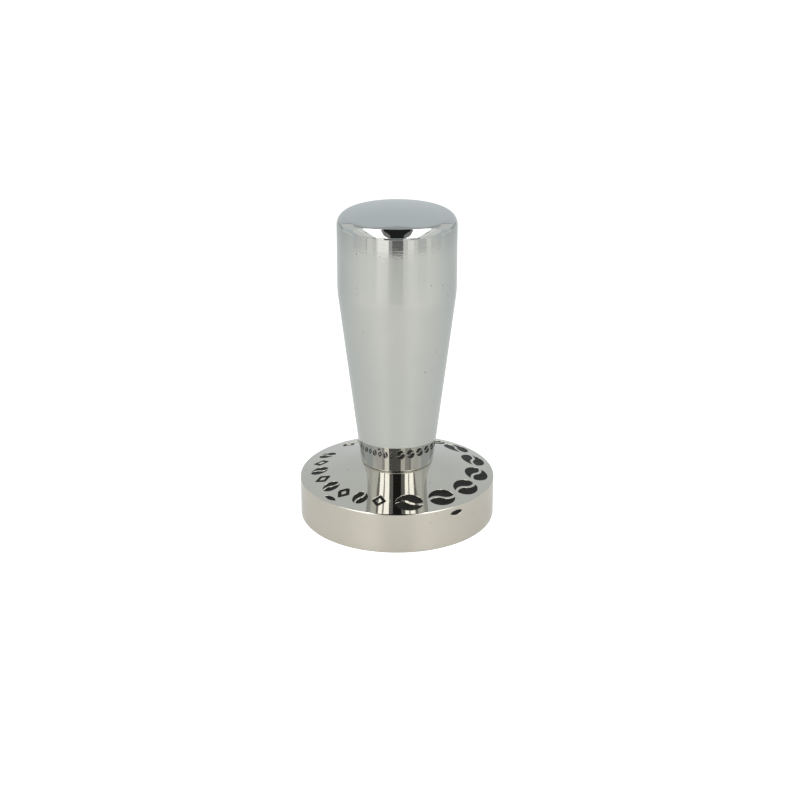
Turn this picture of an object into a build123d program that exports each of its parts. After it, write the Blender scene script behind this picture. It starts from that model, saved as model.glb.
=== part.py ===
from build123d import *
import os
from math import atan, cos, radians, sin, sqrt, tan

# Espresso tamper for a 58 mm filter basket. Millimetres, +Z up, origin at the centre of
# the flat tamping face. -Y is the front. Angles round the base run from the front
# towards +X.

# Tamping base
BASE_RADIUS = 29.0
BASE_EDGE_ROUND = 0.7
RIM_HEIGHT = 12.4
RIM_ROUND = 0.4
CONE_RISE = 0.27
SEAT_RADIUS = 10.3
SEAT_HEIGHT = RIM_HEIGHT + (BASE_RADIUS - SEAT_RADIUS) * CONE_RISE

# Handle
SEAT_GAP = 0.02
HANDLE_FOOT = SEAT_HEIGHT + SEAT_GAP
FOOT_RADIUS = 10.8
FOOT_ROUND = 0.5
HEAD_RADIUS = 17.3
SHOULDER_HEIGHT = 70.6
SHOULDER_ROUND = 30.0
TOP_HEIGHT = 94.7
TOP_ROUND = 3.1
CROWN_RADIUS = 90.0

# M8 stud, its two blind bores and the split washer round it
THREAD_RADIUS = 4.0
BORE_CLEARANCE = 0.05
MOUTH_CHAMFER = 0.8
DRILL_POINT_ANGLE = 118.0
THREAD_IN_BASE = 11.3
THREAD_IN_HANDLE = 16.0
BORE_SPARE = 1.2
STUD_CHAMFER = 0.9
SOCKET_ACROSS_FLATS = 4.0
SOCKET_DEPTH = 4.5
WASHER_INNER_RADIUS = 4.15
WASHER_OUTER_RADIUS = 7.1
WASHER_THICKNESS = 1.9
WASHER_SLIT = 1.4
WASHER_SLIT_LEAN = 25.0
WASHER_PLAY = 0.05
RECESS_RADIUS = 7.6

# Black enamel marks: a ring of plain bean, lozenge and leaf shapes
POCKET_DEPTH = 0.5
ENAMEL_RECESS = 0.1
LARGE_RING_RADIUS = 23.9
LARGE_LENGTH = 8.2
LARGE_WIDTH = 6.8
LARGE_SEAM = 0.8
LARGE_COUNT = 6
LARGE_FIRST_ANGLE = 8.5
LARGE_TURN = 90.0
LARGE_PITCH = 24.4
SMALL_RING_RADIUS = 23.3
SMALL_LENGTH = 5.2
SMALL_WIDTH = 4.4
SMALL_SEAM = 0.55
SMALL_STROKE = 1.0
SMALL_PITCH = 14.5
FRONT_COUNT = 8
FRONT_FIRST_ANGLE = -13.0
BACK_COUNT = 6
BACK_FIRST_ANGLE = -140.0
LEAF_LENGTH = 4.6
LEAF_WIDTH = 1.5
TOP_LEAF_RADIUS = 27.0
TOP_LEAF_ANGLE = -46.0
SIDE_LEAF_ANGLE = 36.5
SIDE_LEAF_DROP = 1.9

os.makedirs("parts", exist_ok=True)


def drill_point(radius):
    """Height of the cone that a drill leaves at the end of a blind hole."""
    return radius / tan(radians(DRILL_POINT_ANGLE / 2))


def direction(angle):
    """Unit vector from the axis, at an angle from the front towards +X."""
    return Vector(sin(radians(angle)), -cos(radians(angle)), 0)


def export(builder, name):
    builder.part.label = name
    export_step(builder.part, "parts/" + name + ".step")


# ---------------------------------------------------------------- enamel mark outlines


def bean(length, width, seam):
    """Coffee bean, its long axis along X, with an S-shaped bare seam along it."""
    reach = length * 0.6
    sway = width * 0.14
    with BuildSketch() as outline:
        Ellipse(length / 2, width / 2)
        with BuildLine() as seam_line:
            ThreePointArc((-reach, 0), (-reach / 2, sway), (0, 0))
            ThreePointArc((0, 0), (reach / 2, -sway), (reach, 0))
        trace(seam_line.line, line_width=seam, mode=Mode.SUBTRACT)
    return outline.sketch


def lozenge(length, width, stroke):
    """Open lozenge with rounded corners, its long axis along X."""
    side = sqrt(length**2 + width**2) / 2
    inner_scale = 1 - stroke * 4 * side / (length * width)
    with BuildSketch() as outline:
        Polygon((length / 2, 0), (0, width / 2), (-length / 2, 0), (0, -width / 2))
        fillet(outline.vertices(), radius=stroke / 2)
        Polygon(
            (length / 2 * inner_scale, 0),
            (0, width / 2 * inner_scale),
            (-length / 2 * inner_scale, 0),
            (0, -width / 2 * inner_scale),
            mode=Mode.SUBTRACT,
        )
    return outline.sketch


def leaf(length, width):
    """Pointed leaf between two arcs, its long axis along Y."""
    with BuildSketch() as outline:
        with BuildLine():
            ThreePointArc((0, -length / 2), (width / 2, 0), (0, length / 2))
            ThreePointArc((0, length / 2), (-width / 2, 0), (0, -length / 2))
        make_face()
    return outline.sketch


def standing_plane(angle, radius, turn=0):
    """Horizontal plane whose X axis is turned from pointing away from the tamper's axis."""
    return Plane(origin=direction(angle) * radius, x_dir=direction(angle + turn), z_dir=(0, 0, 1))


def side_plane(angle, height):
    """Upright plane inside the side wall, facing outwards, with Y round the base."""
    origin = direction(angle) * (BASE_RADIUS - 2) + Vector(0, 0, height)
    return Plane(origin=origin, x_dir=(0, 0, 1), z_dir=direction(angle))


def top_shell(upper, lower):
    """Ring that follows the cone between two depths below its surface."""
    inner = SEAT_RADIUS + 5
    drop = (BASE_RADIUS - inner) * CONE_RISE
    with BuildPart() as shell:
        with BuildSketch(Plane.XZ):
            with BuildLine():
                Polyline(
                    (inner, RIM_HEIGHT + drop - lower),
                    (BASE_RADIUS, RIM_HEIGHT - lower),
                    (BASE_RADIUS, RIM_HEIGHT - upper),
                    (inner, RIM_HEIGHT + drop - upper),
                    close=True,
                )
            make_face()
        revolve(axis=Axis.Z)
    return shell.part


def side_shell(outer, inner):
    """Ring that follows the side wall between two radii."""
    with BuildPart() as shell:
        with BuildSketch():
            Circle(outer)
            Circle(inner, mode=Mode.SUBTRACT)
        extrude(amount=RIM_HEIGHT)
    return shell.part


def inlay(outline, plane, shell):
    """The outline stood up from its plane and cut to the shell."""
    with BuildPart() as piece:
        with BuildSketch(plane):
            add(outline)
        extrude(amount=SEAT_HEIGHT)
        add(shell, mode=Mode.INTERSECT)
    return piece


large_bean = bean(LARGE_LENGTH, LARGE_WIDTH, LARGE_SEAM)
small_shapes = [
    lozenge(SMALL_LENGTH, SMALL_WIDTH, SMALL_STROKE),
    bean(SMALL_LENGTH, SMALL_WIDTH, SMALL_SEAM),
]
top_leaf = leaf(LEAF_LENGTH, LEAF_WIDTH)
side_leaf = leaf(LEAF_LENGTH, LEAF_WIDTH)

top_marks = {}
for i in range(LARGE_COUNT):
    angle = LARGE_FIRST_ANGLE + i * LARGE_PITCH
    plane = standing_plane(angle, LARGE_RING_RADIUS, LARGE_TURN)
    top_marks[f"enamel_large_{i + 1}"] = (large_bean, plane)
for i in range(FRONT_COUNT):
    plane = standing_plane(FRONT_FIRST_ANGLE - i * SMALL_PITCH, SMALL_RING_RADIUS)
    top_marks[f"enamel_small_{i + 1}"] = (small_shapes[i % 2], plane)
for i in range(BACK_COUNT):
    plane = standing_plane(BACK_FIRST_ANGLE - i * SMALL_PITCH, SMALL_RING_RADIUS)
    top_marks[f"enamel_back_{i + 1}"] = (small_shapes[i % 2], plane)
top_marks["enamel_leaf_top"] = (top_leaf, standing_plane(TOP_LEAF_ANGLE, TOP_LEAF_RADIUS))
side_mark_plane = side_plane(SIDE_LEAF_ANGLE, RIM_HEIGHT - SIDE_LEAF_DROP)

# ---------------------------------------------------------------- tamping base: a turned
# disc with a flat face, a straight side and a low cone that rises to the handle's seat,
# a blind tapped hole in the middle and a shallow pocket for each mark

hole_radius = THREAD_RADIUS + BORE_CLEARANCE
hole_floor = SEAT_HEIGHT - THREAD_IN_BASE - BORE_SPARE
top_pocket = top_shell(-2 * POCKET_DEPTH, POCKET_DEPTH)
side_pocket = side_shell(BASE_RADIUS + POCKET_DEPTH, BASE_RADIUS - POCKET_DEPTH)

with BuildPart() as tamping_base:
    with BuildSketch(Plane.XZ) as base_profile:
        with BuildLine():
            Polyline(
                (0, 0),
                (BASE_RADIUS, 0),
                (BASE_RADIUS, RIM_HEIGHT),
                (SEAT_RADIUS, SEAT_HEIGHT),
                (hole_radius + MOUTH_CHAMFER, SEAT_HEIGHT),
                (hole_radius, SEAT_HEIGHT - MOUTH_CHAMFER),
                (hole_radius, hole_floor),
                (0, hole_floor - drill_point(hole_radius)),
                close=True,
            )
        make_face()
        corners = base_profile.vertices()
        fillet(corners.sort_by_distance((BASE_RADIUS, 0))[0], radius=BASE_EDGE_ROUND)
        corners = base_profile.vertices()
        fillet(corners.sort_by_distance((BASE_RADIUS, RIM_HEIGHT))[0], radius=RIM_ROUND)
    revolve(axis=Axis.Z)
    for outline, plane in top_marks.values():
        add(inlay(outline, plane, top_pocket).part, mode=Mode.SUBTRACT)
    add(inlay(side_leaf, side_mark_plane, side_pocket).part, mode=Mode.SUBTRACT)
export(tamping_base, "tamping_base")

# ---------------------------------------------------------------- enamel: each mark is
# filled with black enamel to just under the steel

top_fill = top_shell(ENAMEL_RECESS, POCKET_DEPTH)
side_fill = side_shell(BASE_RADIUS - ENAMEL_RECESS, BASE_RADIUS - POCKET_DEPTH)
for name, (outline, plane) in top_marks.items():
    export(inlay(outline, plane, top_fill), name)
export(inlay(side_leaf, side_mark_plane, side_fill), "enamel_leaf_side")

# ---------------------------------------------------------------- handle: turned from one
# bar, a long taper under a short cylinder with a low crowned top, bored from below for
# the stud, with a recess round the bore for the split washer

recess_top = HANDLE_FOOT + WASHER_THICKNESS + 2 * WASHER_PLAY
bore_top = HANDLE_FOOT + THREAD_IN_HANDLE + BORE_SPARE
crown_edge = TOP_HEIGHT - CROWN_RADIUS + sqrt(CROWN_RADIUS**2 - HEAD_RADIUS**2)
crown_middle_radius = HEAD_RADIUS / 2
crown_middle = TOP_HEIGHT - CROWN_RADIUS + sqrt(CROWN_RADIUS**2 - crown_middle_radius**2)

with BuildPart() as handle:
    with BuildSketch(Plane.XZ) as handle_profile:
        with BuildLine():
            Polyline(
                (0, bore_top + drill_point(THREAD_RADIUS)),
                (THREAD_RADIUS, bore_top),
                (THREAD_RADIUS, recess_top),
                (RECESS_RADIUS, recess_top),
                (RECESS_RADIUS, HANDLE_FOOT),
                (FOOT_RADIUS, HANDLE_FOOT),
                (HEAD_RADIUS, SHOULDER_HEIGHT),
                (HEAD_RADIUS, crown_edge),
            )
            ThreePointArc(
                (HEAD_RADIUS, crown_edge),
                (crown_middle_radius, crown_middle),
                (0, TOP_HEIGHT),
            )
            Line((0, TOP_HEIGHT), (0, bore_top + drill_point(THREAD_RADIUS)))
        make_face()
        corners = handle_profile.vertices()
        fillet(corners.sort_by_distance((FOOT_RADIUS, HANDLE_FOOT))[0], radius=FOOT_ROUND)
        corners = handle_profile.vertices()
        fillet(corners.sort_by_distance((HEAD_RADIUS, SHOULDER_HEIGHT))[0], radius=SHOULDER_ROUND)
        corners = handle_profile.vertices()
        fillet(corners.sort_by_distance((HEAD_RADIUS, crown_edge))[0], radius=TOP_ROUND)
    revolve(axis=Axis.Z)
export(handle, "handle")

# ---------------------------------------------------------------- stud: M8 set screw, fixed
# in the handle, with a hexagon socket in its lower end

stud_bottom = SEAT_HEIGHT - THREAD_IN_BASE
stud_length = HANDLE_FOOT + THREAD_IN_HANDLE - stud_bottom

with BuildPart() as threaded_stud:
    with BuildSketch(Plane.XY.offset(stud_bottom)):
        Circle(THREAD_RADIUS)
    extrude(amount=stud_length)
    chamfer(threaded_stud.edges().filter_by(GeomType.CIRCLE), length=STUD_CHAMFER)
    with BuildSketch(Plane.XY.offset(stud_bottom)):
        RegularPolygon(SOCKET_ACROSS_FLATS / 2, 6, major_radius=False)
    extrude(amount=SOCKET_DEPTH, mode=Mode.SUBTRACT)
export(threaded_stud, "threaded_stud")

# ---------------------------------------------------------------- split washer: flat while
# the handle is tight, with a leaning slit through one side

washer_bottom = HANDLE_FOOT + WASHER_PLAY
slit_lean = WASHER_THICKNESS * tan(radians(WASHER_SLIT_LEAN))

with BuildPart() as split_washer:
    with BuildSketch(Plane.XY.offset(washer_bottom)):
        Circle(WASHER_OUTER_RADIUS)
        Circle(WASHER_INNER_RADIUS, mode=Mode.SUBTRACT)
    extrude(amount=WASHER_THICKNESS)
    with BuildSketch(Plane(origin=(0, 0, washer_bottom), x_dir=(1, 0, 0), z_dir=(0, 1, 0))):
        with BuildLine():
            Polyline(
                (-WASHER_SLIT / 2, 0),
                (WASHER_SLIT / 2, 0),
                (WASHER_SLIT / 2 + slit_lean, -WASHER_THICKNESS),
                (-WASHER_SLIT / 2 + slit_lean, -WASHER_THICKNESS),
                close=True,
            )
        make_face()
    extrude(amount=WASHER_OUTER_RADIUS + 1, mode=Mode.SUBTRACT)
export(split_washer, "split_washer")
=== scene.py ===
"""Looks for the espresso tamper: turned steel bodies, enamel fills, the thread and the studio.

Metres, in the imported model's frame: +Z up, -Y the front, the tamping face at z = 0.
"""
import math

import bmesh
import bpy
import numpy as np
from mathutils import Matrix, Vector
from mathutils.geometry import tessellate_polygon


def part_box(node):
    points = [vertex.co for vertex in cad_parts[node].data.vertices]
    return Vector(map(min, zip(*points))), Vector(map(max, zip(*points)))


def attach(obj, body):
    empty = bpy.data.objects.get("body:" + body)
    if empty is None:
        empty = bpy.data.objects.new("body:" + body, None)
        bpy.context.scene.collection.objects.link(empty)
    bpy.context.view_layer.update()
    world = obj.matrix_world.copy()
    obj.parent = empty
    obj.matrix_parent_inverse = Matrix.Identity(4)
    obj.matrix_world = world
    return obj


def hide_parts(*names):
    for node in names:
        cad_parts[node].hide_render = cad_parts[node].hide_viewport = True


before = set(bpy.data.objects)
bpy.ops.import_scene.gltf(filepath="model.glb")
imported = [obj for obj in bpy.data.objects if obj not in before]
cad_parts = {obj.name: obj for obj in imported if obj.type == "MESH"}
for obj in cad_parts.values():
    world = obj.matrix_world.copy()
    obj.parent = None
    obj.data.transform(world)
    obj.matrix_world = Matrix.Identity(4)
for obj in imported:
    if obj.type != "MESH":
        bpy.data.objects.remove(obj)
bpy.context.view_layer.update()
MM = 0.001

# ------------------------------------------------------------------ sizes, as in the CAD
base_low, base_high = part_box("tamping_base")
handle_low, handle_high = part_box("handle")
stud_low, stud_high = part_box("threaded_stud")

BASE_R = base_high.x
SEAT_Z = base_high.z
BASE_EDGE_R = 0.7 * MM
RIM_Z = 12.4 * MM
RIM_R = 0.4 * MM
SEAT_R = 10.3 * MM
CONE_SLOPE = (SEAT_Z - RIM_Z) / (BASE_R - SEAT_R)

FOOT_Z = handle_low.z
TOP_Z = handle_high.z
HEAD_R = handle_high.x
FOOT_R = 10.8 * MM
FOOT_ROUND = 0.5 * MM
SHOULDER_Z = 70.6 * MM
SHOULDER_ROUND = 30.0 * MM
TOP_ROUND = 3.1 * MM
CROWN_R = 90.0 * MM
RECESS_R = 7.6 * MM
RECESS_Z = FOOT_Z + 2.0 * MM
HANDLE_BORE_R = 4.02 * MM
HANDLE_BORE_Z = FOOT_Z + 17.2 * MM

THREAD_R = stud_high.x
THREAD_PITCH = 1.25 * MM
THREAD_DEPTH = 0.76 * MM
BORE_R = 4.05 * MM
BORE_FLOOR_Z = SEAT_Z - 12.5 * MM
MOUTH_R = 4.85 * MM
POCKET_DEPTH = 0.5 * MM

TURN_STEPS = 576
THREAD_STEPS = 72
THREAD_ROWS_PER_PITCH = 16


# ------------------------------------------------------------------ profiles
# A profile is a list of points (r, z, nr, nz) in order. Two points in one place with
# different normals make a sharp corner.

def line(start, end, steps=1):
    """Straight stretch of a profile, with the material on the left of the way it runs."""
    run = np.array(end, float) - np.array(start, float)
    normal = np.array([run[1], -run[0]]) / np.linalg.norm(run)
    return [(*(np.array(start) + run * t), *normal) for t in np.linspace(0, 1, steps + 1)]


def arc(centre, radius, start, end, steps, inward=1):
    """Arc of a profile between two angles in degrees."""
    turned = np.radians(np.linspace(start, end, steps + 1))
    return [
        (centre[0] + radius * math.cos(a), centre[1] + radius * math.sin(a),
         inward * math.cos(a), inward * math.sin(a))
        for a in turned
    ]


def corner_arc(before, corner, after, radius, steps):
    """Fillet of a convex or hollow corner, with the tangent points as its ends."""
    a, b, c = (np.array(p, float) for p in (before, corner, after))
    u, v = (a - b) / np.linalg.norm(a - b), (c - b) / np.linalg.norm(c - b)
    half = math.acos(np.clip(u @ v, -1, 1)) / 2
    middle = b + (u + v) / np.linalg.norm(u + v) * radius / math.sin(half)
    first, last = b + u * radius / math.tan(half), b + v * radius / math.tan(half)
    begin = math.degrees(math.atan2(*(first - middle)[::-1]))
    finish = math.degrees(math.atan2(*(last - middle)[::-1]))
    sweep = (finish - begin + 180) % 360 - 180
    return arc(middle, radius, begin, begin + sweep, steps)


def joined(*runs):
    """Runs one after another as (points, normals at each interval's two ends)."""
    points, intervals = [], []
    for run in runs:
        if points and math.dist(points[-1], run[0][:2]) > 1e-8:
            raise ValueError("the profile's runs don't meet")
        if not points:
            points.append(run[0][:2])
        for a, b in zip(run, run[1:]):
            points.append(b[:2])
            intervals.append((a[2:], b[2:]))
    return np.array(points), np.array(intervals)


# ------------------------------------------------------------------ meshes

def new_object(name, mesh, body=None):
    made = bpy.data.objects.new(name, mesh)
    bpy.context.scene.collection.objects.link(made)
    if body:
        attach(made, body)
    return made


def ring(radius, z, steps, turn=0.0):
    a = np.linspace(0, 2 * math.pi, steps, endpoint=False) + turn
    radius = np.broadcast_to(radius, a.shape)
    z = np.broadcast_to(z, a.shape)
    return np.stack([radius * np.cos(a), radius * np.sin(a), z], 1)


def skin(rings, faces, points, first_closed, last_closed):
    """Adds rings of points and the quads between them, with a middle point where an end closes."""
    start = sum(len(p) for p in points)
    for r in rings:
        points.append(r)
    n = len(rings[0])
    for k in range(len(rings) - 1):
        a, b = start + k * n, start + (k + 1) * n
        faces += [(a + i, a + (i + 1) % n, b + (i + 1) % n, b + i) for i in range(n)]
    end = start + len(rings) * n
    if first_closed:
        points.append(rings[0].mean(0)[None])
        faces += [(end, start + (i + 1) % n, start + i) for i in range(n)]
        end += 1
    if last_closed:
        last = start + (len(rings) - 1) * n
        points.append(rings[-1].mean(0)[None])
        faces += [(end, last + i, last + (i + 1) % n) for i in range(n)]
    return start


def mesh_from(name, points, faces):
    mesh = bpy.data.meshes.new(name)
    mesh.from_pydata(np.concatenate(points).tolist(), [], faces)
    mesh.update()
    return mesh


def turned_normals(mesh, points, intervals, sharp=35):
    """Gives the faces that lie on the profile their exact normals, and leaves the others."""
    mesh.polygons.foreach_set("use_smooth", [True] * len(mesh.polygons))
    mesh.set_sharp_from_angle(angle=math.radians(sharp))
    co = np.zeros(len(mesh.vertices) * 3)
    mesh.vertices.foreach_get("co", co)
    co = co.reshape(-1, 3)
    middle = np.zeros(len(mesh.polygons) * 3)
    mesh.polygons.foreach_get("center", middle)
    middle = middle.reshape(-1, 3)
    facing = np.zeros(len(mesh.polygons) * 3)
    mesh.polygons.foreach_get("normal", facing)
    facing = facing.reshape(-1, 3)
    flat = np.stack([np.hypot(middle[:, 0], middle[:, 1]), middle[:, 2]], 1)
    outward = (facing[:, 0] * middle[:, 0] + facing[:, 1] * middle[:, 1]) / np.maximum(flat[:, 0], 1e-9)
    facing = np.stack([outward, facing[:, 2]], 1)
    a, b = points[:-1], points[1:]
    along = b - a
    length2 = np.maximum((along ** 2).sum(1), 1e-18)
    t = np.clip(((flat[:, None] - a) * along).sum(2) / length2, 0, 1)
    gap = np.linalg.norm(flat[:, None] - (a + t[..., None] * along), axis=2)
    wanted = intervals.mean(1)
    wanted /= np.linalg.norm(wanted, axis=1)[:, None]
    agree = facing @ wanted.T
    gap[agree < 0.8] = 1
    chosen = gap.argmin(1)
    on_profile = gap[np.arange(len(gap)), chosen] < 5e-6
    corner_vertex = np.zeros(len(mesh.loops), int)
    mesh.loops.foreach_get("vertex_index", corner_vertex)
    totals = np.zeros(len(mesh.polygons), int)
    mesh.polygons.foreach_get("loop_total", totals)
    owner = np.repeat(np.arange(len(totals)), totals)
    p = co[corner_vertex]
    r = np.hypot(p[:, 0], p[:, 1])
    k = chosen[owner]
    s = np.clip((((np.stack([r, p[:, 2]], 1)) - a[k]) * along[k]).sum(1) / length2[k], 0, 1)
    n2 = intervals[k, 0] * (1 - s)[:, None] + intervals[k, 1] * s[:, None]
    n2 /= np.linalg.norm(n2, axis=1)[:, None]
    # a point on the axis takes its direction from the middle of its face
    use = np.where((r > 1e-7)[:, None], p[:, :2], middle[owner, :2])
    use /= np.maximum(np.linalg.norm(use, axis=1), 1e-12)[:, None]
    normals = np.stack([use[:, 0] * n2[:, 0], use[:, 1] * n2[:, 0], n2[:, 1]], 1)
    normals[~on_profile[owner]] = 0
    mesh.normals_split_custom_set(normals.tolist())


def thread_wave(z, angle, crest, depth):
    """Radius of a right-hand thread: flat crests and roots with straight flanks between."""
    phase = (z / THREAD_PITCH - angle / (2 * math.pi)) % 1
    rise = np.clip((np.abs(phase - 0.5) - 0.0625) / 0.3125, 0, 1)
    return crest - depth * rise


# ------------------------------------------------------------------ enamel outlines

def boundary_loops(node, outward):
    """The outlines of a mark's outer face, in order, read from its CAD solid."""
    bm = bmesh.new()
    bm.from_mesh(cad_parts[node].data)
    bmesh.ops.remove_doubles(bm, verts=bm.verts, dist=1e-6)
    bm.normal_update()
    top = {f for f in bm.faces if f.normal.dot(outward(f.calc_center_median())) > 0.6}
    follow = {}
    for face in top:
        for loop in face.loops:
            others = [x for x in loop.edge.link_faces if x is not face]
            if not any(x in top for x in others):
                follow[loop.vert.index] = (loop.link_loop_next.vert.index, loop.vert.co.copy())
    loops = []
    while follow:
        start = min(follow)
        at, found = start, []
        while at in follow:
            following, co = follow.pop(at)
            found.append(co)
            at = following
        loops.append(np.array(found))
    bm.free()
    return loops


def resampled(loop, spacing, corner=28):
    """The closed outline (n, 2) as a finer smooth one that keeps its corners."""
    n = len(loop)
    ahead = np.roll(loop, -1, 0) - loop
    painted_shade_behind = loop - np.roll(loop, 1, 0)
    angle = np.arctan2(painted_shade_behind[:, 0] * ahead[:, 1] - painted_shade_behind[:, 1] * ahead[:, 0], (painted_shade_behind * ahead).sum(1))
    is_corner = np.abs(angle) > math.radians(corner)
    fine = []
    for i in range(n):
        p1, p2 = loop[i], loop[(i + 1) % n]
        p0 = 2 * p1 - p2 if is_corner[i] else loop[i - 1]
        p3 = 2 * p2 - p1 if is_corner[(i + 1) % n] else loop[(i + 2) % n]
        length = np.linalg.norm(p2 - p1)
        d0, d2 = max(np.linalg.norm(p1 - p0), 1e-9), max(np.linalg.norm(p3 - p2), 1e-9)
        m1 = ((p1 - p0) / d0 * length + (p2 - p1) / length * d0) / (d0 + length) * length
        m2 = ((p2 - p1) / length * d2 + (p3 - p2) / d2 * length) / (d2 + length) * length
        steps = max(1, int(round(length / spacing)))
        for t in np.arange(steps) / steps:
            h = 2 * t ** 3 - 3 * t ** 2 + 1, t ** 3 - 2 * t ** 2 + t, 3 * t ** 2 - 2 * t ** 3, t ** 3 - t ** 2
            fine.append(h[0] * p1 + h[1] * m1 + h[2] * p2 + h[3] * m2)
    return np.array(fine)


def grown(loop, amount):
    """The outline moved away from its solid side by amount, with mitred corners."""
    ahead = np.roll(loop, -1, 0) - loop
    ahead /= np.linalg.norm(ahead, axis=1)[:, None]
    painted_shade_behind = np.roll(ahead, 1, 0)
    n1 = np.stack([ahead[:, 1], -ahead[:, 0]], 1)
    n0 = np.stack([painted_shade_behind[:, 1], -painted_shade_behind[:, 0]], 1)
    mitre = n0 + n1
    mitre /= np.maximum((mitre * n1).sum(1), 0.35)[:, None]
    return loop + mitre * amount


def grouped(loops):
    """Outer outlines, each with the holes that lie inside it."""
    area = [0.5 * (l[:, 0] * np.roll(l[:, 1], -1) - l[:, 1] * np.roll(l[:, 0], -1)).sum() for l in loops]
    groups = [[l] for l, a in zip(loops, area) if a > 0]
    for l, a in zip(loops, area):
        if a <= 0:
            best = min(groups, key=lambda g: np.linalg.norm(g[0].mean(0) - l.mean(0)))
            best.append(l)
    return groups


def stacked(loops, levels, place, points, faces):
    """A closed solid over an outline and its holes: one ring of points for each level
    (growth, depth) from the bottom up, with flat caps."""
    sizes = [len(l) for l in loops]
    offset = np.concatenate([[0], np.cumsum(sizes)])
    start = sum(len(p) for p in points)
    count = offset[-1]
    for growth, depth in levels:
        for l in loops:
            points.append(place(grown(l, growth), depth))
    for k in range(len(levels) - 1):
        for n, o in zip(sizes, offset):
            a, b = start + k * count + o, start + (k + 1) * count + o
            faces += [(a + i, a + (i + 1) % n, b + (i + 1) % n, b + i) for i in range(n)]
    top_level = np.concatenate([grown(l, levels[-1][0]) for l in loops])
    caps = tessellate_polygon([[Vector((x, y, 0)) for x, y in grown(l, levels[-1][0])] for l in loops])
    last = start + (len(levels) - 1) * count
    for tri in caps:
        p = top_level[list(tri)]
        turn = np.cross(p[1] - p[0], p[2] - p[0])
        if abs(turn) < 1e-16:
            continue
        tri = tri if turn > 0 else tri[::-1]
        faces.append(tuple(last + i for i in tri))
        faces.append(tuple(start + i for i in tri[::-1]))


def on_cone(flat, depth):
    """Points over the cone, at a depth under its surface."""
    r = np.hypot(flat[:, 0], flat[:, 1])
    return np.stack([flat[:, 0], flat[:, 1], RIM_Z + (BASE_R - r) * CONE_SLOPE - depth], 1)


def on_side(middle_angle):
    """Points on the side wall from (distance round, height) and a depth under it."""
    def place(flat, depth):
        a = middle_angle + flat[:, 0] / BASE_R
        r = BASE_R - depth
        return np.stack([r * np.cos(a), r * np.sin(a), flat[:, 1]], 1)
    return place


def mark_outlines(node):
    """(groups of outlines in the mark's own flat coordinates, the way back to the surface)"""
    if node != "enamel_leaf_side":
        loops = boundary_loops(node, lambda c: Vector((0, 0, 1)))
        return [l[:, :2] for l in loops], on_cone
    loops = boundary_loops(node, lambda c: Vector((c.x, c.y, 0)).normalized())
    middle = np.concatenate(loops).mean(0)
    angle = math.atan2(middle[1], middle[0])
    flat = [
        np.stack([(np.arctan2(l[:, 1], l[:, 0]) - angle) * BASE_R, l[:, 2]], 1)
        for l in loops
    ]
    return flat, on_side(angle)


# pocket: (growth, depth) of the cutter's rings; the last three flare the edge and clear the
# curved surface
POCKET_LEVELS = [(0, POCKET_DEPTH), (0, 0.05 * MM), (0.08 * MM, -0.03 * MM), (0.08 * MM, -0.5 * MM)]
# fill: stands on the pocket's floor, climbs its wall a little and dishes in the middle
FILL_LEVELS = [
    (-0.003 * MM, POCKET_DEPTH - 0.005 * MM),
    (-0.003 * MM, 0.06 * MM),
    (-0.05 * MM, 0.085 * MM),
    (-0.14 * MM, 0.10 * MM),
]
OUTLINE_STEP = 0.14 * MM

enamel_nodes = sorted(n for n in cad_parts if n.startswith("enamel"))
cut_points, cut_faces = [], []
fills = []
for node in enamel_nodes:
    outlines, place = mark_outlines(node)
    outlines = [resampled(l, OUTLINE_STEP) for l in outlines]
    fill_points, fill_faces = [], []
    for group in grouped(outlines):
        stacked(group, POCKET_LEVELS, place, cut_points, cut_faces)
        stacked(group, FILL_LEVELS, place, fill_points, fill_faces)
    mesh = mesh_from(node + "_fill", fill_points, fill_faces)
    mesh.polygons.foreach_set("use_smooth", [True] * len(mesh.polygons))
    mesh.set_sharp_from_angle(angle=math.radians(50))
    fill = new_object(node + "_fill", mesh, "base")
    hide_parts(node)
    fills.append(fill)

# ------------------------------------------------------------------ tamping base
rim_corner = corner_arc((BASE_R, 0), (BASE_R, RIM_Z), (SEAT_R, SEAT_Z), RIM_R, 10)
foot_corner = arc((BASE_R - BASE_EDGE_R, BASE_EDGE_R), BASE_EDGE_R, -90, 0, 12)
base_runs = joined(
    line((0.5 * MM, 0), (BASE_R - BASE_EDGE_R, 0), 8),
    foot_corner,
    line((BASE_R, BASE_EDGE_R), rim_corner[0][:2], 6),
    rim_corner,
    line(rim_corner[-1][:2], (SEAT_R, SEAT_Z), 22),
    line((SEAT_R, SEAT_Z), (MOUTH_R + 0.4 * MM, SEAT_Z), 2),
)
points, faces = [], []
outer = skin([ring(r, z, TURN_STEPS) for r, z in base_runs[0]], faces, points, True, False)
outer_last = outer + (len(base_runs[0]) - 1) * TURN_STEPS

around = np.linspace(0, 2 * math.pi, THREAD_STEPS, endpoint=False)
bore_rows = int((SEAT_Z - BORE_FLOOR_Z) / THREAD_PITCH * THREAD_ROWS_PER_PITCH)
bore = []
for z in np.linspace(SEAT_Z, BORE_FLOOR_Z, bore_rows):
    depth = THREAD_DEPTH - 0.06 * MM
    cut = np.clip((z - BORE_FLOOR_Z) / (1.2 * MM), 0, 1)
    wave = thread_wave(z, around, BORE_R, depth)
    radius = BORE_R - depth + (wave - (BORE_R - depth)) * cut
    bore.append(ring(np.maximum(radius, MOUTH_R - (SEAT_Z - z)), z, THREAD_STEPS))
drill_r = BORE_R - THREAD_DEPTH
for share in (0.66, 0.33):
    tip = drill_r / math.tan(math.radians(59))
    bore.append(ring(drill_r * share, BORE_FLOOR_Z - tip * (1 - share), THREAD_STEPS))
inner = skin(bore, faces, points, False, True)
ratio = TURN_STEPS // THREAD_STEPS
for i in range(THREAD_STEPS):
    arc_points = [outer_last + (i * ratio + k) % TURN_STEPS for k in range(ratio + 1)]
    faces.append((*arc_points, inner + (i + 1) % THREAD_STEPS, inner + i))
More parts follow.
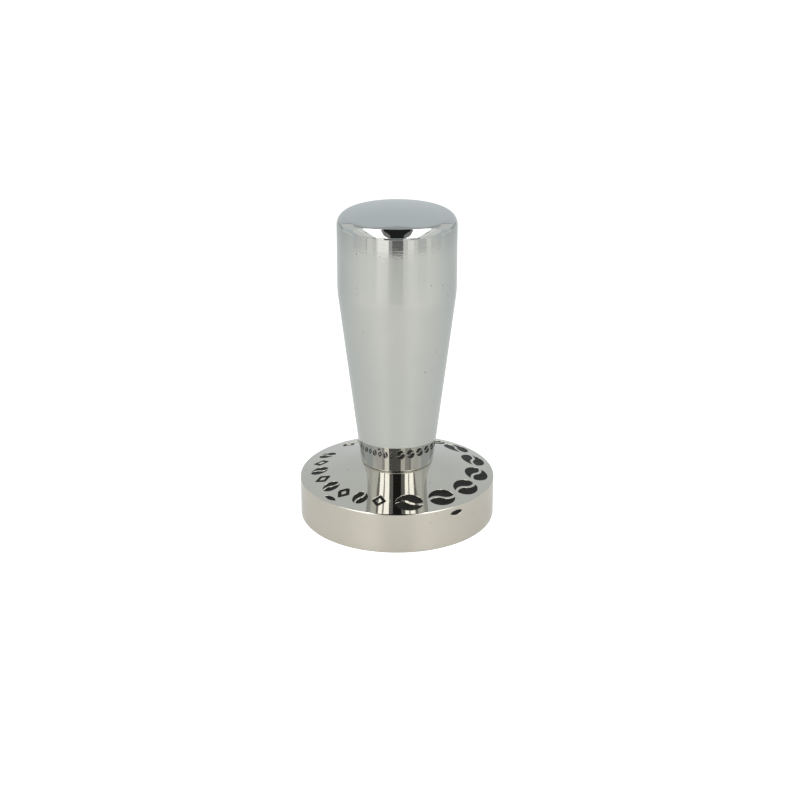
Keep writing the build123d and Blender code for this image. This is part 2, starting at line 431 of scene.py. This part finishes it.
base_mesh = mesh_from("tamping_base_turned", points, faces)
base = new_object("tamping_base_turned", base_mesh, "base")
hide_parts("tamping_base")

cutter = new_object("cutter", mesh_from("cutter", cut_points, cut_faces))
carve = base.modifiers.new("pockets", "BOOLEAN")
carve.operation = "DIFFERENCE"
carve.solver = "EXACT"
carve.object = cutter
bpy.context.view_layer.update()
carved = bpy.data.meshes.new_from_object(base.evaluated_get(bpy.context.evaluated_depsgraph_get()))
base.modifiers.clear()
base.data = carved
bpy.data.objects.remove(cutter)
turned_normals(base.data, *base_runs)

# ------------------------------------------------------------------ handle
crown_z = TOP_Z - CROWN_R
tilt = math.asin((HEAD_R - TOP_ROUND) / (CROWN_R - TOP_ROUND))
round_z = crown_z + (CROWN_R - TOP_ROUND) * math.cos(tilt)
foot_arc = corner_arc((SEAT_R - MM, FOOT_Z), (FOOT_R, FOOT_Z), (HEAD_R, SHOULDER_Z), FOOT_ROUND, 14)
shoulder = corner_arc((FOOT_R, FOOT_Z), (HEAD_R, SHOULDER_Z), (HEAD_R, round_z), SHOULDER_ROUND, 24)
head_arc = arc((HEAD_R - TOP_ROUND, round_z), TOP_ROUND, 0, 90 - math.degrees(tilt), 32)
crown = arc((0, crown_z), CROWN_R, 90 - math.degrees(tilt), 90 - 0.3, 24)
drill_z = HANDLE_BORE_Z + HANDLE_BORE_R / math.tan(math.radians(59))
EDGE_BREAK = 0.2 * MM
handle_runs = joined(
    line((0.4 * MM, drill_z - 0.24 * MM), (HANDLE_BORE_R, HANDLE_BORE_Z)),
    line((HANDLE_BORE_R, HANDLE_BORE_Z), (HANDLE_BORE_R, RECESS_Z), 3),
    line((HANDLE_BORE_R, RECESS_Z), (RECESS_R, RECESS_Z), 2),
    line((RECESS_R, RECESS_Z), (RECESS_R, FOOT_Z + EDGE_BREAK), 2),
    line((RECESS_R, FOOT_Z + EDGE_BREAK), (RECESS_R + EDGE_BREAK, FOOT_Z)),
    line((RECESS_R + EDGE_BREAK, FOOT_Z), foot_arc[0][:2], 3),
    foot_arc,
    line(foot_arc[-1][:2], shoulder[0][:2], 40),
    shoulder,
    line(shoulder[-1][:2], (HEAD_R, round_z), 14),
    head_arc,
    crown,
)
points, faces = [], []
skin([ring(r, z, TURN_STEPS) for r, z in handle_runs[0]], faces, points, True, True)
handle = new_object("handle_turned", mesh_from("handle_turned", points, faces), "handle")
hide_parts("handle")
turned_normals(handle.data, *handle_runs)

# ------------------------------------------------------------------ threaded stud
STUD_CHAMFER = 0.9 * MM
SOCKET_HALF = 2.0 * MM
SOCKET_DEPTH = 4.5 * MM
rows = int((stud_high.z - stud_low.z) / THREAD_PITCH * THREAD_ROWS_PER_PITCH)
hexagon = SOCKET_HALF / np.cos((around + math.pi / 6) % (math.pi / 3) - math.pi / 6)
lead = SOCKET_HALF * 1.18
body_rings = []
for z in np.linspace(stud_low.z, stud_high.z, rows):
    radius = thread_wave(z, around, THREAD_R, THREAD_DEPTH)
    end = min(z - stud_low.z, stud_high.z - z)
    body_rings.append(ring(np.minimum(radius, THREAD_R - STUD_CHAMFER + end), z, THREAD_STEPS))
socket_rings = [
    ring(hexagon * 0.35, stud_low.z + SOCKET_DEPTH + 0.35 * MM, THREAD_STEPS),
    ring(hexagon, stud_low.z + SOCKET_DEPTH, THREAD_STEPS),
    ring(hexagon, stud_low.z + 0.25 * MM, THREAD_STEPS),
    ring(np.maximum(hexagon, lead), stud_low.z, THREAD_STEPS),
    ring(2.75 * MM, stud_low.z, THREAD_STEPS),
]
points, faces = [], []
skin(socket_rings + body_rings + [ring(1.5 * MM, stud_high.z, THREAD_STEPS)], faces, points, True, True)
stud_mesh = mesh_from("threaded_stud_cut", points, faces)
stud = new_object("threaded_stud_cut", stud_mesh, "handle")
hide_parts("threaded_stud")
stud.data.polygons.foreach_set("use_smooth", [True] * len(stud.data.polygons))
stud.data.set_sharp_from_angle(angle=math.radians(28))

# ------------------------------------------------------------------ split washer
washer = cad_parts["split_washer"]
weld = washer.modifiers.new("weld", "WELD")
weld.merge_threshold = 1e-6
edge = washer.modifiers.new("edge", "BEVEL")
edge.width = 0.16 * MM
edge.segments = 3
edge.limit_method = "ANGLE"
edge.angle_limit = math.radians(40)


# ------------------------------------------------------------------ materials

class Nodes:
    """Short ways to add and link shader nodes."""

    def __init__(self, material):
        material.use_nodes = True
        self.tree = material.node_tree
        self.shader = self.tree.nodes["Principled BSDF"]

    def add(self, kind, settings=None, **inputs):
        node = self.tree.nodes.new("ShaderNode" + kind)
        for key, value in (settings or {}).items():
            setattr(node, key, value)
        for key, value in inputs.items():
            self.feed(node, key.replace("_", " "), value)
        return node

    def feed(self, node, key, value):
        socket = node.inputs[int(key)] if key.isdigit() else node.inputs[key]
        if isinstance(value, bpy.types.NodeSocket):
            self.tree.links.new(value, socket)
        elif isinstance(value, bpy.types.Node):
            self.tree.links.new(value.outputs[0], socket)
        else:
            socket.default_value = value

    def math(self, operation, a, b=None, clamp=False):
        node = self.tree.nodes.new("ShaderNodeMath")
        node.operation = operation
        node.use_clamp = clamp
        self.feed(node, "0", a)
        if b is not None:
            self.feed(node, "1", b)
        return node

    def spread(self, value, low, high, to_low, to_high):
        """value from low to high mapped to another range and held there."""
        node = self.tree.nodes.new("ShaderNodeMapRange")
        for key, v in (("Value", value), ("From Min", low), ("From Max", high),
                       ("To Min", to_low), ("To Max", to_high)):
            self.feed(node, key, v)
        return node


def steel(name, tint, shade, rough, rings, ring_scale, scratches, smudge, band=None):
    """Turned and polished stainless steel. rings is the height of its turning marks in
    metres, ring_scale how many there are to a metre, scratches the height of its fine
    scratches, rough the least and most roughness, smudge the size of its dull patches. band is
    (lowest z, highest z, how bold) for the short wiping marks round one part of it."""
    material = bpy.data.materials.new(name)
    n = Nodes(material)
    place = n.add("TexCoord").outputs["Object"]
    split = n.add("SeparateXYZ", Vector=place)
    radius = n.math("SQRT", n.math("ADD", n.math("MULTIPLY", split.outputs[0], split.outputs[0]),
                                   n.math("MULTIPLY", split.outputs[1], split.outputs[1])))
    turned = n.add("CombineXYZ", X=radius.outputs[0], Y=split.outputs[2],
                   Z=n.math("MULTIPLY", split.outputs[0], 0.06).outputs[0])

    # turning marks: noise that changes fast with radius and height and slowly round the axis
    marks = n.add("TexNoise", {"noise_dimensions": "4D"}, Vector=turned.outputs[0],
                  W=n.math("MULTIPLY", split.outputs[1], 0.06).outputs[0],
                  Scale=ring_scale, Detail=4.0, Roughness=0.62)
    # patches where polishing has worn the marks away
    patches = n.add("TexNoise", Vector=place, Scale=smudge, Detail=3.0, Roughness=0.55)
    kept = n.spread(patches.outputs[0], 0.38, 0.66, 0.25, 1.0)
    marks_height = n.math("MULTIPLY", marks.outputs[0], kept.outputs[0])
    if band:
        low, high, bolder = band
        wipes = n.add("TexNoise", Vector=n.add("Mapping", Vector=place, Scale=(160, 160, 1250)).outputs[0],
                      Scale=1.0, Detail=3.0, Roughness=0.6)
        rising = n.spread(split.outputs[2], low, low + 3 * MM, 0.0, bolder)
        falling = n.spread(split.outputs[2], high - 0.5 * MM, high, 1.0, 0.0)
        in_band = n.math("MULTIPLY", rising, falling)
        marks_height = n.math("ADD", marks_height, n.math("MULTIPLY", wipes, in_band))

    # fine scratches: thin lines along the middle value of two stretched noises
    lines = []
    for turn, stretch, seed in ((0.5, (260, 34, 60), 3.1), (1.9, (48, 300, 70), 7.7)):
        lean = n.add("Mapping", Vector=place, Rotation=(0.4 * turn, 0.3, turn), Scale=stretch)
        noise = n.add("TexNoise", {"noise_dimensions": "4D"}, Vector=lean.outputs[0], W=seed,
                      Scale=1.0, Detail=1.0, Roughness=0.5)
        off = n.math("ABSOLUTE", n.math("SUBTRACT", noise.outputs[0], 0.5))
        lines.append(n.spread(off, 0.0, 0.0045, 1.0, 0.0))
    both = n.math("MAXIMUM", lines[0].outputs[0], lines[1].outputs[0])
    where = n.add("TexNoise", Vector=place, Scale=smudge * 2.3, Detail=1.0)
    scratch = n.math("MULTIPLY", both, n.spread(where.outputs[0], 0.46, 0.62, 0.0, 1.0))

    # small pits
    cells = n.add("TexVoronoi", Vector=place, Scale=620.0, Randomness=1.0)
    rare = n.add("SeparateColor", Color=cells.outputs["Color"])
    pit = n.math("MULTIPLY", n.spread(cells.outputs["Distance"], 0.06, 0.16, 1.0, 0.0),
                 n.math("GREATER_THAN", rare.outputs[0], 0.955))

    colour = n.add("MixRGB", Fac=n.spread(patches.outputs[0], 0.3, 0.7, 0.0, 1.0).outputs[0],
                   Color1=(*tint, 1), Color2=(*shade, 1))
    darker = n.add("MixRGB", Fac=n.math("MULTIPLY", pit, 0.75).outputs[0],
                   Color1=colour.outputs[0], Color2=(0.10, 0.10, 0.09, 1))
    n.feed(n.shader, "Base Color", darker)
    n.feed(n.shader, "Metallic", 1.0)

    dull = n.spread(patches.outputs[0], 0.3, 0.72, rough[0], rough[1])
    dull = n.math("ADD", dull, n.math("MULTIPLY", scratch, 0.10))
    dull = n.math("ADD", dull, n.math("MULTIPLY", n.spread(marks.outputs[0], 0.35, 0.7, 0.0, 1.0), 0.02))
    dull = n.math("ADD", dull, n.math("MULTIPLY", pit, 0.25))
    n.feed(n.shader, "Roughness", dull)

    first = n.add("Bump", Strength=1.0, Distance=rings, Height=marks_height.outputs[0])
    second = n.add("Bump", Strength=1.0, Distance=scratches, Normal=first.outputs[0],
                   Height=n.math("SUBTRACT", n.math("MULTIPLY", scratch, -1.0), pit).outputs[0])
    n.feed(n.shader, "Normal", second)
    return material


def enamel(name):
    """Semi-gloss black enamel with a fine grain and a few lighter specks."""
    material = bpy.data.materials.new(name)
    n = Nodes(material)
    place = n.add("TexCoord").outputs["Object"]
    grain = n.add("TexNoise", Vector=place, Scale=2600.0, Detail=3.0, Roughness=0.6)
    cloud = n.add("TexNoise", Vector=place, Scale=420.0, Detail=3.0)
    tone = n.add("MixRGB", Fac=n.spread(cloud.outputs[0], 0.35, 0.65, 0.0, 1.0).outputs[0],
                 Color1=(0.007, 0.007, 0.006, 1), Color2=(0.017, 0.017, 0.015, 1))
    n.feed(n.shader, "Base Color", tone)
    n.feed(n.shader, "Roughness", n.spread(cloud.outputs[0], 0.3, 0.7, 0.34, 0.5))
    n.shader.inputs["Specular IOR Level"].default_value = 0.10
    dimple = n.add("Bump", Strength=0.6, Distance=12e-6, Height=grain.outputs[0])
    n.feed(n.shader, "Normal", dimple)
    return material


def dress(obj, material):
    obj.data.materials.clear()
    obj.data.materials.append(material)


base_steel = steel("mirror_steel", (0.645, 0.615, 0.555), (0.61, 0.58, 0.525), (0.015, 0.04),
                   0.7e-6, 2600.0, 1.2e-6, 60.0)
handle_steel = steel("polished_steel", (0.58, 0.595, 0.58), (0.545, 0.565, 0.555), (0.018, 0.05),
                     1.2e-6, 1300.0, 1.5e-6, 42.0, (round_z - 8 * MM, round_z - 0.3 * MM, 5.0))
thread_steel = steel("machined_steel", (0.50, 0.50, 0.49), (0.44, 0.44, 0.43), (0.20, 0.34),
                     3e-6, 5200.0, 2e-6, 260.0)
spring_steel = steel("spring_steel", (0.42, 0.42, 0.42), (0.34, 0.34, 0.35), (0.26, 0.42),
                     4e-6, 4200.0, 3e-6, 220.0)
black = enamel("black_enamel")
dress(base, base_steel)
dress(handle, handle_steel)
dress(stud, thread_steel)
dress(washer, spring_steel)
for fill in fills:
    dress(fill, black)


# ------------------------------------------------------------------ studio

def glow(name, colour, strength):
    material = bpy.data.materials.new(name)
    material.use_nodes = True
    tree = material.node_tree
    tree.nodes.clear()
    emission = tree.nodes.new("ShaderNodeEmission")
    emission.inputs["Color"].default_value = (*colour, 1)
    emission.inputs["Strength"].default_value = strength
    output = tree.nodes.new("ShaderNodeOutputMaterial")
    tree.links.new(emission.outputs[0], output.inputs["Surface"])
    return material


def panel(name, points, faces, material):
    mesh = bpy.data.meshes.new(name)
    mesh.from_pydata(points, [], faces)
    mesh.materials.append(material)
    made = new_object(name, mesh)
    made.visible_camera = False
    made.visible_shadow = False
    return made


def bent_strip(name, path, material, distance=1.0):
    """A panel bent round the handle's top: a path of (elevation, near x, far x) points, the
    elevation in degrees up from the front round to the back, x as a share of the distance."""
    points, faces = [], []
    for elevation, near, far in path:
        y = ARCH_Y - distance * math.cos(math.radians(elevation))
        z = ARCH_Z + distance * math.sin(math.radians(elevation))
        points += [(near * distance, y, z), (far * distance, y, z)]
    for k in range(len(path) - 1):
        faces.append((2 * k, 2 * k + 1, 2 * k + 3, 2 * k + 2))
    return panel(name, points, faces, material)


# two tall panels either side of a dark slit, arching over the tamper from front to back.
# Each row: elevation, then x of the slit's edge, of the panel's inner edge and of its outer
# edge, as shares of the distance
ARCH_Y, ARCH_Z = -0.0155, 0.092
ARCH = [
    (14, 0.210, 0.280, 0.745), (22, 0.218, 0.315, 0.800), (30, 0.208, 0.375, 0.850),
    (38, 0.200, 0.395, 0.885), (45, 0.204, 0.400, 0.908), (54, 0.214, 0.398, 0.919),
    (64, 0.230, 0.378, 0.915), (73, 0.238, 0.352, 0.896), (82, 0.240, 0.320, 0.859),
    (90, 0.235, 0.290, 0.813), (98, 0.217, 0.262, 0.755), (104, 0.197, 0.230, 0.700),
    (108, 0.185, 0.215, 0.640), (111, 0.175, 0.200, 0.480), (113.5, 0.165, 0.185, 0.250),
    (119, 0.130, 0.135, 0.140),
]
# how much further out each panel reaches: all of it up to the first elevation, none of it
# from the second
WIDER = {"left": (0.065, 73, 98), "right": (0.02, 73, 98)}
# thin dark joint in each panel, low down: elevation and x shares, and how much further out
# it stands on each side
JOINT = [(44, 0.600, 0.655), (50, 0.600, 0.655), (58, 0.665, 0.715)]
JOINT_OUT = {"left": 0.065, "right": 0.0}
# dark bars over the panels: (near x share, elevation, far x share, elevation)
BARS = {
    "middle": [(0.0, 120, 0.0, 146), (0.11, 120, 0.11, 145)],
    "inner": [(0.13, 117, 0.13, 126.5), (0.20, 115, 0.20, 126.5), (0.29, 114, 0.29, 124)],
    "outer": [(0.30, 115, 0.30, 126), (0.43, 113, 0.38, 131), (0.545, 112, 0.40, 134)],
    "edge": [(0.545, 111, 0.61, 113), (0.46, 124, 0.53, 125), (0.40, 133, 0.48, 132.5),
             (0.43, 141, 0.50, 136), (0.58, 142, 0.60, 136.5), (0.74, 147.5, 0.755, 141.5),
             (0.87, 156, 0.91, 151), (0.90, 172, 0.96, 169)],
}
# a lighter bar beside the edge one
SOFT_BAR = [(0.61, 113, 0.86, 113), (0.53, 125, 0.79, 122), (0.48, 132.5, 0.60, 131.5)]
# dark border of a panel, and the light boards beside it: elevation and x shares
BORDER = [(54, 0.925, 0.99), (62, 0.922, 1.03), (70, 0.908, 1.05), (79, 0.875, 1.06)]
BOARDS = [
    (18, 0.790, 1.40, 4.40), (30, 0.855, 1.50, 4.40), (38, 0.890, 1.55, 4.40), (46, 0.912, 1.60, 4.40),
    (55, 0.922, 1.60, 4.40), (64, 0.918, 1.60, 4.40), (73, 0.900, 1.50, 4.40), (90, 0.820, 1.40, 4.40),
    (98, 0.760, 1.30, 4.40), (105, 0.700, 1.20, 2.20),
]
# light boards behind, below the line of the dark edge
REAR = [
    (96, 0.800, 2.40), (105, 0.720, 2.40), (113, 0.600, 2.40), (125, 0.510, 2.40), (133, 0.460, 2.40),
    (138, 0.570, 2.40), (143, 0.740, 2.40), (152, 0.890, 2.40), (165, 0.950, 2.40),
]
lamp = glow("lamp", (1.0, 0.99, 0.965), 2.45)
slit_black = glow("slit_black", (1, 1, 1), 0.022)
edge_grey = glow("edge_grey", (1.0, 0.98, 0.98), 0.27)
joint_grey = glow("joint_grey", (1.0, 0.98, 0.98), 0.32)
bar_grey = glow("bar_grey", (0.95, 0.98, 1.0), 0.50)
border_grey = glow("border_grey", (1.0, 0.98, 0.95), 0.36)
board_light = glow("board_light", (0.98, 0.99, 0.96), 1.02)
soft_grey = glow("soft_grey", (0.98, 0.99, 0.98), 0.57)
board_grey = glow("board_grey", (0.99, 0.99, 0.96), 0.90)
rear_grey = glow("rear_grey", (0.98, 0.99, 0.97), 0.80)


def in_front(points, distance):
    """Points (x share, elevation) as positions at a distance from the panels' centre."""
    placed = []
    for x, elevation in points:
        y = ARCH_Y - distance * math.cos(math.radians(elevation))
        z = ARCH_Z + distance * math.sin(math.radians(elevation))
        placed.append((x * distance, y, z))
    return placed


for side, name in ((-1, "left"), (1, "right")):
    wider, full, none = WIDER[name]

    def out(e, x):
        """x share of an outer edge at an elevation, widened on its side."""
        return side * (x + wider * min(1, max(0, (none - e) / (none - full))))

    bent_strip("panel_" + name, [(e, side * inner, out(e, outer)) for e, _, inner, outer in ARCH], lamp)
    shift = JOINT_OUT[name]
    joint = [(e, side * (a + shift), side * (b + shift)) for e, a, b in JOINT]
    bent_strip("joint_" + name, joint, joint_grey, 0.97)
    bent_strip("sliver_" + name, [(e, side * slit, side * inner) for e, slit, inner, _ in ARCH], edge_grey)
    bent_strip("border_" + name, [(e, out(e, a), out(e, b)) for e, a, b in BORDER], border_grey, 0.99)
    bent_strip("board_" + name, [(e, side * a, side * b) for e, a, b, _ in BOARDS], board_light, 1.02)
    bent_strip("far_board_" + name, [(e, side * b, side * c) for e, _, b, c in BOARDS], board_grey, 1.02)
    bent_strip("rear_board_" + name, [(e, side * a, side * b) for e, a, b in REAR], rear_grey, 1.06)
    for part, bar in (*BARS.items(), ("soft", SOFT_BAR)):
        near_side = [(side * x, e) for x, e, _, _ in bar]
        far_side = [(side * x, e) for _, _, x, e in bar]
        corners = in_front(near_side + far_side, 1.03)
        n = len(bar)
        panel(f"bar_{part}_{name}", corners, [(k, k + 1, n + k + 1, n + k) for k in range(n - 1)],
              {"soft": soft_grey, "inner": border_grey}.get(part, bar_grey))
bent_strip("slit", [(e, -slit, slit) for e, slit, _, _ in ARCH], slit_black)


def low_strips(height, low, high, edges, distance=1.0):
    """Upright strips side by side: (x share, colour, brightness) up to the next one's x share."""
    for k, (x, colour, strength) in enumerate(edges[:-1]):
        if strength:
            name = f"{height}_{k + 1}"
            next_x = edges[k + 1][0]
            bent_strip(name, [(low, x, next_x), (high, x, next_x)], glow(name, colour, strength), distance)


WARM, PLAIN = (1.0, 0.98, 0.93), (1.0, 0.99, 0.97)
# seen in the handle's head
low_strips("lower", -44, -8, [
    (-3.50, PLAIN, 0.73), (-2.20, PLAIN, 0.79), (-1.62, WARM, 0.85), (-1.48, PLAIN, 0.62),
    (-1.36, WARM, 0.95), (-0.95, PLAIN, 0.84), (-0.74, WARM, 1.08), (-0.67, WARM, 1.33),
    (-0.26, PLAIN, 0.50), (-0.15, PLAIN, 0.19),
    (0.19, WARM, 0.85), (0.34, WARM, 1.12), (0.57, WARM, 0.90), (0.74, PLAIN, 0.70), (1.32, WARM, 0.94),
    (1.80, PLAIN, 0.79), (2.40, PLAIN, 0.73), (3.50, PLAIN, 0),
])
# seen at the head's sides, past the end of the floor
low_strips("side", -88, -44, [
    (-4.00, PLAIN, 0.71), (-2.70, PLAIN, 0.75), (-1.60, PLAIN, 0),
    (1.60, PLAIN, 0.77), (2.70, PLAIN, 0.72), (4.00, PLAIN, 0),
])
# between the low strips and the boards
low_strips("gap", -10, 20, [
    (-4.20, PLAIN, 0.82), (-0.78, PLAIN, 0), (0.78, PLAIN, 0.82), (4.20, PLAIN, 0),
], 1.04)
# seen in the handle's foot, by way of the base
low_strips("middle", -5, 9, [
    (-1.05, PLAIN, 0.55), (-0.80, WARM, 1.50), (-0.46, PLAIN, 0.16), (0.20, WARM, 0.95),
    (0.46, PLAIN, 0.52), (0.80, PLAIN, 0.34), (0.92, PLAIN, 0.90), (1.5, PLAIN, 0),
])

# low grey walls behind, at the sides
WALL_X, WALL_TOP, WALL_BOTTOM = 0.6, 0.12, -0.2
WALL_FRONT, WALL_BACK = 0.35, 1.0
wall_grey = glow("wall_grey", (0.97, 0.99, 1.0), 0.47)
for side, name in ((-1, "left"), (1, "right")):
    x = side * WALL_X
    corners = [(x, WALL_FRONT, WALL_BOTTOM), (x, WALL_BACK, WALL_BOTTOM),
               (x, WALL_BACK, WALL_TOP), (x, WALL_FRONT, WALL_TOP)]
    panel("wall_" + name, corners, [(0, 1, 2, 3)], wall_grey)

# floor: one sheet that the camera sees and one that the steel mirrors, which ends in a half
# circle in front
FLOOR_FRONT = 0.29


def sheet(name, outline, material):
    mesh = bpy.data.meshes.new(name)
    mesh.from_pydata([(x, y, 0) for x, y in outline], [], [tuple(range(len(outline)))])
    made = new_object(name, mesh)
    dress(made, material)
    return made


def hide_from(obj, *rays):
    for ray in rays:
        setattr(obj, "visible_" + ray, False)


floor_material = bpy.data.materials.new("pale_floor")
floor_nodes = Nodes(floor_material)
floor_nodes.shader.inputs["Base Color"].default_value = (0.80, 0.80, 0.79, 1)
floor_nodes.shader.inputs["Roughness"].default_value = 0.6
floor_nodes.shader.inputs["Emission Color"].default_value = (1, 1, 1, 1)
floor_nodes.shader.inputs["Emission Strength"].default_value = 0.75
floor = sheet("floor", [(-3, -3), (3, -3), (3, 3), (-3, 3)], floor_material)
hide_from(floor, "diffuse", "glossy", "transmission", "volume_scatter", "shadow")

bounce_material = bpy.data.materials.new("bounce_floor")
bounce_nodes = Nodes(bounce_material)
bounce_place = bounce_nodes.add("SeparateXYZ", Vector=bounce_nodes.add("TexCoord").outputs["Object"])
# painted shade: the floor the steel mirrors is coloured darker behind the tamper than in front
painted_shade_behind = bounce_nodes.spread(bounce_place.outputs[1], -0.09, 0.12, 0.0, 1.0)
bounce_shaded_colour = bounce_nodes.add("MixRGB", Fac=painted_shade_behind.outputs[0], Color1=(0.52, 0.512, 0.492, 1),
                                 Color2=(0.39, 0.402, 0.402, 1))
bounce_middle = bounce_nodes.add("TexCoord").outputs["Object"]
from_axis = bounce_nodes.add("VectorMath", {"operation": "LENGTH"}, Vector=bounce_middle)
# a darker ring in the painted shade behind, then the fade towards the front edge
darker_ring = bounce_nodes.math("MULTIPLY", bounce_nodes.spread(from_axis.outputs["Value"], 0.27, 0.31, 0.0, 1.0),
                         bounce_nodes.spread(from_axis.outputs["Value"], 0.36, 0.46, 1.0, 0.0))
bounce_shaded_colour = bounce_nodes.add("MixRGB", Fac=bounce_nodes.math("MULTIPLY", darker_ring, painted_shade_behind).outputs[0],
                                 Color1=bounce_shaded_colour.outputs[0], Color2=(0.330, 0.342, 0.342, 1))
bounce_nodes.feed(bounce_nodes.shader, "Base Color", bounce_shaded_colour)
# painted light: the mirrored floor glows with its own colour, painted shade included
bounce_nodes.feed(bounce_nodes.shader, "Emission Color", bounce_shaded_colour)
bounce_nodes.shader.inputs["Emission Strength"].default_value = 0.73
bounce_nodes.shader.inputs["Roughness"].default_value = 0.36
bounce_nodes.shader.inputs["Specular IOR Level"].default_value = 0.22
in_front_half = bounce_nodes.spread(bounce_place.outputs[1], -0.05, 0.05, 1.0, 0.0)
fade = bounce_nodes.spread(from_axis.outputs["Value"], 0.185, FLOOR_FRONT, 0.0, 0.23)
bounce_nodes.feed(bounce_nodes.shader, "Alpha", bounce_nodes.math(
    "SUBTRACT", 1.0, bounce_nodes.math("MULTIPLY", fade, in_front_half)))
half_circle = [
    (FLOOR_FRONT * math.cos(a), FLOOR_FRONT * math.sin(a)) for a in np.linspace(-math.pi, 0, 49)
]
bounce = sheet("bounce_floor", half_circle + [(3, 0), (3, 3), (-3, 3), (-3, 0)], bounce_material)
hide_from(bounce, "camera")

# backdrop: seen by the camera alone
BACK_R, BACK_STEPS = 3.0, 48
points, faces = [], []
skin([ring(BACK_R, z, BACK_STEPS) for z in (-0.5, 4.0)], faces, points, False, True)
backdrop = new_object("backdrop", mesh_from("backdrop", points, faces))
dress(backdrop, glow("white_backdrop", (1, 1, 1), 1.0))
hide_from(backdrop, "diffuse", "glossy", "transmission", "volume_scatter", "shadow")

world = bpy.data.worlds.new("tent")
bpy.context.scene.world = world
world.use_nodes = True
world.node_tree.nodes["Background"].inputs["Color"].default_value = (0.87, 0.93, 0.96, 1)
world.node_tree.nodes["Background"].inputs["Strength"].default_value = 0.75

# ------------------------------------------------------------------ camera
CAMERA_BACK = 0.501368
CAMERA_UP = 0.240825
CAMERA_PITCH = 0.38764
LENS = 82.247
lens = bpy.data.cameras.new("camera")
lens.sensor_width = 36.0
lens.lens = LENS
lens.shift_x = 0.003625
lens.clip_start = 0.01
camera = bpy.data.objects.new("camera", lens)
bpy.context.scene.collection.objects.link(camera)
camera.location = (0, -CAMERA_BACK, CAMERA_UP)
camera.rotation_euler = (math.pi / 2 - CAMERA_PITCH, 0, 0)
bpy.context.scene.camera = camera
bpy.context.scene.view_settings.view_transform = "Standard"
